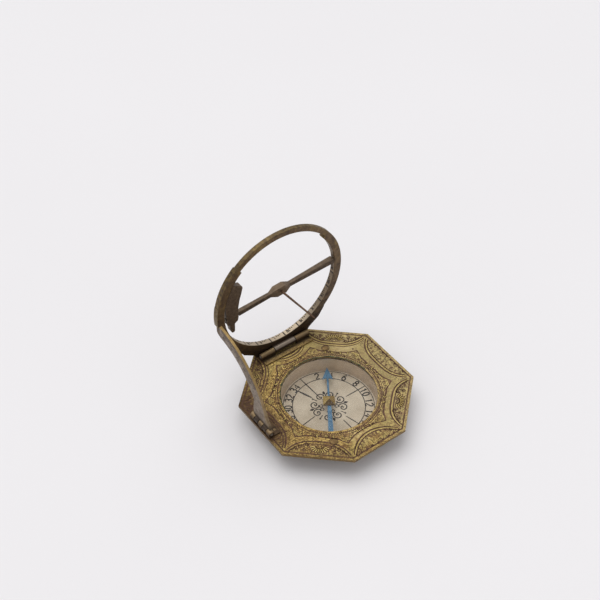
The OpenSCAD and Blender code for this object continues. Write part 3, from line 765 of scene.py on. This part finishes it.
def make_stage():
    bpy.ops.mesh.primitive_plane_add(size=FLOOR_SIZE, location=(0, 0, FLOOR_LEVEL))
    floor = bpy.context.object
    floor.name = "floor"
    look = Look("floor", roughness=0.85)
    look.paint(look.mix(look.noise(150, 2, 0.5), (236, 234, 235), (240, 238, 239)))
    set_material(floor, look.material)

    softbox = bpy.data.lights.new("softbox", "SUN")
    softbox.angle = LAMP_ANGLE
    softbox.energy = LAMP_ENERGY
    lamp = bpy.data.objects.new("softbox", softbox)
    lamp.rotation_euler = Vector(LAMP_DIRECTION).to_track_quat("-Z", "Y").to_euler()
    bpy.context.collection.objects.link(lamp)
    world = bpy.data.worlds.new("studio")
    bpy.context.scene.world = world
    world.use_nodes = True
    background = world.node_tree.nodes["Background"]
    background.inputs["Color"].default_value = (*rgb(*SKY_COLOUR), 1)
    background.inputs["Strength"].default_value = SKY_STRENGTH
    bpy.context.scene.view_settings.view_transform = "Standard"


# The plate's brass

# Where the brass is rubbed bright, in millimetres
RUBBED_PATCHES = ((-3.0, -20.8), (17.5, 13.0))


def from_plate_edge(look, x, y):
    """The distance in from the nearest of the plate's sides."""
    inward = SIDES[7].inward
    across, up = look.unsigned(x), look.unsigned(y)
    slant = look.plus(look.times(across, -inward.x), look.times(up, -inward.y))
    slant_edge = -inward.dot(CORNERS[0]) * MM
    return look.least(look.minus(PLATE_HIGH.x, across), look.minus(PLATE_HIGH.y, up),
                      look.minus(slant_edge, slant))


def lay_strands(look, x, r, inside, cloud):
    """Amber strands and scratches round the window, further out on the west, and along the sides."""
    strands = look.waves(r, 1.6, 14.0)
    scratches = look.between(look.noise(0.45, 3, 0.7), 0.4, 0.55, 0.3, 1)
    amber = look.mix(look.times(look.between(strands, -0.6, 0.7), scratches), (88, 60, 34), (226, 190, 108))
    wider_west = look.times(look.least(x, 0.0), 0.32)
    by_window = look.between(look.minus(look.plus(r, wider_west), cloud), 12.5 * MM, 14.2 * MM, 0.85, 0)
    by_edge = look.between(inside, 0.6 * MM, 1.3 * MM, 0.6, 0)
    look.coat(look.most(by_window, by_edge), amber)


def lay_curls(look, x, r, inside):
    """Fine curls, densest by the sides and by the window, with a painted highlight beside each dark cut.
    It gives the cuts."""
    curl = look.unsigned(look.minus(look.noise(1.1, 1.5, 0.6), 0.5))
    smooth = look.times(look.between(r, 19.5 * MM, 20.5 * MM), look.between(inside, 5 * MM, 6.5 * MM),
                        look.between(x, -10 * MM, 4 * MM))
    dense = look.between(smooth, 0, 1, 1.0, 0.35)
    # Painted highlight: pale gold beside each dark curl
    look.coat(look.times(dense, look.between(curl, 0.02, 0.06, 0, 0.35)), (196, 168, 100))
    cut = look.times(dense, look.between(curl, 0.01, 0.034, 0.8, 0))
    look.coat(cut, (70, 50, 34))
    return cut


def lay_patina(look, x, y, cloud):
    """Brown patina in spots, and a darker brown over the west, the north-west, the south-west and by the
    ring's hinge.
    """
    spots = look.times(look.between(look.noise(2.6, 4, 0.65), 0.48, 0.62, 0, 0.75),
                       look.between(look.plus(x, y), 34 * MM, 0, 0.3, 1))
    look.coat(spots, look.mix(look.noise(0.6, 3), (88, 60, 38), (150, 112, 66)))
    west = look.times(look.between(look.minus(cloud, x), 23 * MM, 31 * MM),
                      look.between(y, -11 * MM, -5 * MM, 0.3, 1))
    north_west = look.between(look.plus(look.minus(y, x), cloud), 32 * MM, 42 * MM, 0, 0.5)
    south_west = look.between(look.minus(cloud, look.plus(x, y)), 36 * MM, 48 * MM, 0, 0.4)
    north = look.between(look.minus(look.plus(y, cloud), look.times(x, 0.45)), 29 * MM, 38 * MM, 0, 0.75)
    brown = look.mix(look.noise(0.9, 4, 0.7), (44, 32, 24), (108, 78, 48))
    look.coat(look.most(west, south_west, north, north_west), brown)
    # Painted golden glints (highlights) in the north-west, few where the west's brown is thick
    glints = look.times(look.between(look.noise(0.6, 3, 0.7), 0.54, 0.62, 0, 0.6),
                        look.between(x, 4 * MM, -8 * MM), look.between(west, 0, 0.6, 1, 0.2),
                        look.between(y, -14 * MM, -4 * MM))
    look.coat(glints, (236, 204, 122))


def plate_brass():
    look, _, grain = patina("plate_brass", (176, 156, 92), (140, 120, 68), (84, 62, 42), 2.2, pits=0.8)
    x, y, z = look.axes()
    cloud = look.times(look.noise(4, 4), 12 * MM)
    r = look.from_axis(COMPASS, (0, 1))
    inside = from_plate_edge(look, x, y)
    lay_strands(look, x, r, inside, cloud)
    cut = lay_curls(look, x, r, inside)
    for u, v in RUBBED_PATCHES:
        from_patch = look.from_axis(Vector((u, v, 0)) * MM, (0, 1))
        look.coat(look.between(from_patch, 2 * MM, 5.5 * MM, 0.65, 0), (204, 180, 124))
    lay_patina(look, x, y, cloud)
    # A grey film on the east half, and plain dull brass below the top face
    look.coat(look.between(x, 0, 14 * MM, 0, 0.22), (170, 160, 132))
    look.coat(look.between(z, PLATE_TOP - 0.2 * MM, PLATE_TOP - 0.1 * MM, 0.75, 0), (120, 98, 66))
    look.rough(look.clouds(1.4, 3, 0.56, 0.36))
    look.bump(look.minus(grain, cut), 0.12, 0.9)
    return look.material


# The other materials

def ring_brass():
    """Dark metal with painted shade low down by the hinge, golden patches painted as highlights on the crown,
    a painted highlight on the outer wall, and a pale wall where the hours are cut, with painted shade towards
    its east side and its top.
    """
    look = old_metal("ring_brass", (112, 90, 62), (78, 62, 48), (44, 34, 28), 1.6, 0.3, (1, 1, 3), pits=0.7)
    x, _, z = look.axes()
    r = look.from_axis(RING_MIDDLE, (0, 2))
    # Painted shade: the ring's lower part darker towards the hinge
    painted_shade_low = look.between(z, RING_MIDDLE.z - 15 * MM, RING_MIDDLE.z - 21 * MM, 0, 0.6)
    look.coat(painted_shade_low, (42, 32, 25))
    # Painted highlights: golden patches on the crown
    crown = look.between(z, RING_MIDDLE.z, RING_MIDDLE.z + 10 * MM, 0, 0.45)
    look.coat(look.times(look.between(look.noise(4, 3), 0.46, 0.62), crown), (148, 124, 74))
    # The pale wall is its own colour; its fading towards the east side and the top is painted shade
    pale_wall_and_shade = look.times(look.between(z, RING_MIDDLE.z + 4 * MM, RING_MIDDLE.z - 6 * MM, 0.3, 1),
                         look.between(x, 8 * MM, 19 * MM, 1, 0.3),
                         look.between(r, RING_INNER + 0.12 * MM, RING_INNER + 0.05 * MM))
    look.coat(pale_wall_and_shade, look.mix(look.noise(0.5, 3), (156, 140, 118), (196, 180, 156)))
    # Painted highlight: golden light in clouds on the outer wall
    lit_outer_wall = look.between(r, RING_OUTER - 0.12 * MM, RING_OUTER - 0.05 * MM, 0, 0.7)
    look.coat(lit_outer_wall, look.mix(look.clouds(1.2), (66, 54, 40), (128, 108, 66)))
    return look.material


def bowl_brass():
    """Dull brass outside, and pale paper on the wall inside, above the card."""
    look = old_metal("bowl_brass", (120, 100, 70), (92, 74, 52), (60, 46, 34))
    r = look.from_axis(COMPASS, (0, 1))
    bore = GLASS_HIGH.x - COMPASS.x
    inside = look.between(r, bore + 0.02 * MM, bore + 0.12 * MM, 1, 0)
    above_card = look.between(look.axes()["Z"], CARD_TOP - 0.6 * MM, CARD_TOP - 0.4 * MM)
    paper = look.mix(look.noise(1.5), (216, 198, 176), (240, 224, 204))
    look.coat(look.times(inside, above_card), paper)
    return look.material


def card_paper():
    look = Look("card_paper", roughness=0.9)
    look.paint(look.mix(look.clouds(9), (200, 184, 160), (226, 212, 188)))
    look.coat(look.between(look.noise(0.5, 3, 0.7), 0.58, 0.72, 0, 0.5), (134, 118, 100))
    look.bump(look.noise(0.3), 0.03, 0.5)
    return look.material


def window_glass():
    look = Look("window_glass", alpha=0.07)
    look.rough(look.between(look.noise(2), 0.3, 0.7, 0.0, 0.08))
    look.paint(look.mix(look.noise(5), (96, 100, 98), (116, 120, 116)))
    return look.material


def hinge_brass():
    """Dark knuckles with a painted highlight on top, and the ring hinge's leaf in plain brass, with a painted
    shadow on it by the barrel.
    """
    look = old_metal("hinge_brass", (88, 68, 44), (66, 50, 34), (38, 28, 22), 1.5, 0.3)
    x, y, z = look.axes()
    by_ring = look.between(x, -22 * MM, -18 * MM)
    # Painted highlight along the knuckles' tops
    height = look.plus(z, look.times(look.noise(0.8), 0.6 * MM))
    lit_top = look.between(height, RING_HINGE.z + 0.5 * MM, RING_HINGE.z + 1.5 * MM, 0, 0.9)
    look.coat(lit_top, look.mix(by_ring, (160, 136, 102), (144, 122, 88)))
    leaf_top = look.times(by_ring, look.between(z, PLATE_TOP + 0.45 * MM, PLATE_TOP + 0.6 * MM, 0.9, 0))
    leaf_brass = look.mix(look.clouds(0.7), (92, 70, 42), (158, 134, 80))
    # Painted shadow on the leaf, next to the barrel
    painted_shadow_by_barrel = look.between(y, RING_HINGE.y - 2.6 * MM, RING_HINGE.y - 1.6 * MM, 0, 0.85)
    look.coat(leaf_top, look.mix(painted_shadow_by_barrel, leaf_brass, (44, 34, 26)))
    return look.material


def foot_brass():
    """Dark metal, with a painted highlight along the knuckle's top."""
    look = old_metal("foot_brass", (76, 59, 44), (56, 44, 34), (34, 27, 22), 1.5, 0.3)
    _, y, z = look.axes()
    knuckle = look.between(y, RING_LOW.y - 0.6 * MM, RING_LOW.y - 0.8 * MM)
    # Painted highlight on the knuckle's top
    height = look.plus(z, look.times(look.noise(0.8), 0.3 * MM))
    lit_top = look.between(height, RING_HINGE.z + 0.6 * MM, RING_HINGE.z + 0.85 * MM, 0, 0.9)
    look.coat(look.times(knuckle, lit_top), (134, 122, 108))
    return look.material


def bar_brass():
    """Dark metal, with a painted highlight along the bar's upper edge, and rubbed pale on its hub."""
    look = old_metal("bar_brass", (92, 76, 60), (66, 54, 44), (40, 32, 28), 1.4, 0.3, (4, 1, 1))
    x, _, z = look.axes()
    # Painted highlight: the bar lighter along its upper edge
    above = look.minus(look.minus(z, RING_MIDDLE.z), look.times(x, math.tan(math.radians(BAR_TURN))))
    height = look.plus(above, look.times(look.noise(0.7), 0.5 * MM))
    look.coat(look.between(height, 0.8 * MM, 1.0 * MM, 0, 0.4), (122, 104, 84))
    from_hub = look.from_axis(RING_MIDDLE, (0, 2))
    look.coat(look.between(from_hub, 2.5 * MM, 4.5 * MM, 0.45, 0), (128, 108, 86))
    return look.material


def arc_brass():
    """Grey-brown faces with fine lines along them, golden edges painted as highlights that are weaker lower
    down, and a dark foot.
    """
    look = old_metal("arc_brass", (150, 136, 120), (120, 106, 92), (76, 62, 52), 1.6, 0.3)
    x, _, z = look.axes()
    r = look.from_axis(RING_HINGE, (1, 2))
    look.coat(look.between(look.waves(r, 2.5, 2.0), 0.2, 0.9, 0, 0.3), (78, 64, 56))
    # Painted highlights: golden along the outer edge and the east side, weaker lower down
    outer = look.between(r, ARC_OUTER - 0.12 * MM, ARC_OUTER - 0.04 * MM, 0, 0.85)
    east = look.between(x, ARC_EAST - 0.5 * MM, ARC_EAST - 0.3 * MM, 0, 0.5)
    higher = look.between(z, PLATE_TOP + 4 * MM, PLATE_TOP + 20 * MM, 0.25, 1)
    look.coat(look.times(look.most(outer, east), higher),
              look.mix(look.noise(0.9), (132, 104, 58), (190, 160, 98)))
    look.coat(look.between(z, PLATE_TOP + 2.8 * MM, PLATE_TOP + 4.6 * MM, 0.85, 0), (50, 38, 30))
    return look.material


def cap_brass():
    """The cap's four facets are painted lit and shaded: pale towards the arrow, dark towards the tail."""
    look = old_metal("cap_brass", (214, 186, 112), (188, 156, 86), (124, 94, 50), 1.2, 0.25)
    x, y, _ = look.axes()
    east, north = look.minus(x, COMPASS.x), look.minus(y, COMPASS.y)
    sine, cosine = math.sin(NEEDLE_BEARING), math.cos(NEEDLE_BEARING)
    ahead = look.plus(look.times(east, sine), look.times(north, cosine))
    right = look.minus(look.times(east, cosine), look.times(north, sine))
    tail_facet_shade = look.minus(look.times(ahead, -1.0), look.unsigned(right))
    # Painted shade on the right facet, and darker painted shade on the facets towards the tail
    look.coat(look.between(right, 0, 0.1 * MM, 0, 0.45), (122, 90, 50))
    look.coat(look.between(tail_facet_shade, -0.04 * MM, 0.04 * MM, 0, 0.85), (74, 52, 34))
    return look.material


def plain_metal(name, *tones, **kinds):
    return old_metal(name, *tones, **kinds).material


# What each node is made of
FINISHES = [
    (plate_brass(), ["base_plate"]),
    (bowl_brass(), ["compass_bowl"]),
    (card_paper(), ["compass_card"]),
    (window_glass(), ["compass_glass"]),
    (plain_metal("needle_steel", (94, 136, 164), (72, 110, 140), (44, 62, 82), 1.2, 0.3, metallic=0.4),
     ["compass_needle"]),
    (cap_brass(), ["needle_cap"]),
    (ring_brass(), ["hour_ring", "latitude_index"]),
    (foot_brass(), ["ring_foot"]),
    (plain_metal("pivot_plate_brass", (108, 90, 72), (84, 70, 58), (40, 34, 30), 1.2, 0.5, pits=0.8),
     ["pivot_plate", "pivot_plate_pins"]),
    (bar_brass(), ["crossbar"]),
    (plain_metal("gnomon_brass", (108, 82, 62), (88, 66, 50), (56, 42, 34)), ["gnomon_pin"]),
    (arc_brass(), ["latitude_arc"]),
    (hinge_brass(), ["ring_hinge_base", "arc_hinge_base"]),
    (plain_metal("rivet_brass", (134, 112, 78), (110, 90, 62), (70, 54, 38)),
     ["ring_hinge_rivets", "arc_hinge_rivets"]),
    (plain_metal("screw_brass", (138, 112, 70), (110, 86, 54), (66, 48, 34)), ["case_screws"]),
    (plain_metal("pin_steel", (156, 150, 142), (124, 118, 110), (78, 72, 66)),
     ["ring_hinge_pin", "arc_hinge_pin", "needle_pivot", "crossbar_pivots"]),
]

# What the drawn lines are made of
DARK_LINES = plain_metal("engraved_lines", (104, 72, 54), (80, 54, 42), (48, 34, 27),
                         metallic=0.3, roughness=0.7)
# Bright brass for the ridges: painted highlights along the engraving
BRIGHT_LINES = plain_metal("highlight_ridges", (206, 186, 116), (178, 154, 88), (128, 102, 58), metallic=0.8)
VERDIGRIS = plain_metal("verdigris", (74, 92, 70), (50, 58, 42), (26, 24, 20), 1.2,
                        metallic=0.0, roughness=0.8)
RING_LINES = plain_metal("ring_lines", (44, 36, 32), (30, 24, 22), (18, 15, 14), metallic=0.2, roughness=0.6)
ARC_LINES = plain_metal("arc_lines", (92, 76, 62), (66, 54, 44), (44, 34, 28), metallic=0.3, roughness=0.6)
CARD_INK = plain_metal("card_ink", (70, 60, 56), (52, 46, 44), (40, 34, 32), metallic=0.0, roughness=0.8)

make_camera()
make_stage()
for material, names in FINISHES:
    for name in names:
        set_material(nodes[name], material)
engrave_plate(DARK_LINES, BRIGHT_LINES)
add_verdigris(VERDIGRIS)
divide_ring(RING_LINES)
divide_arc(ARC_LINES)
print_card(CARD_INK)
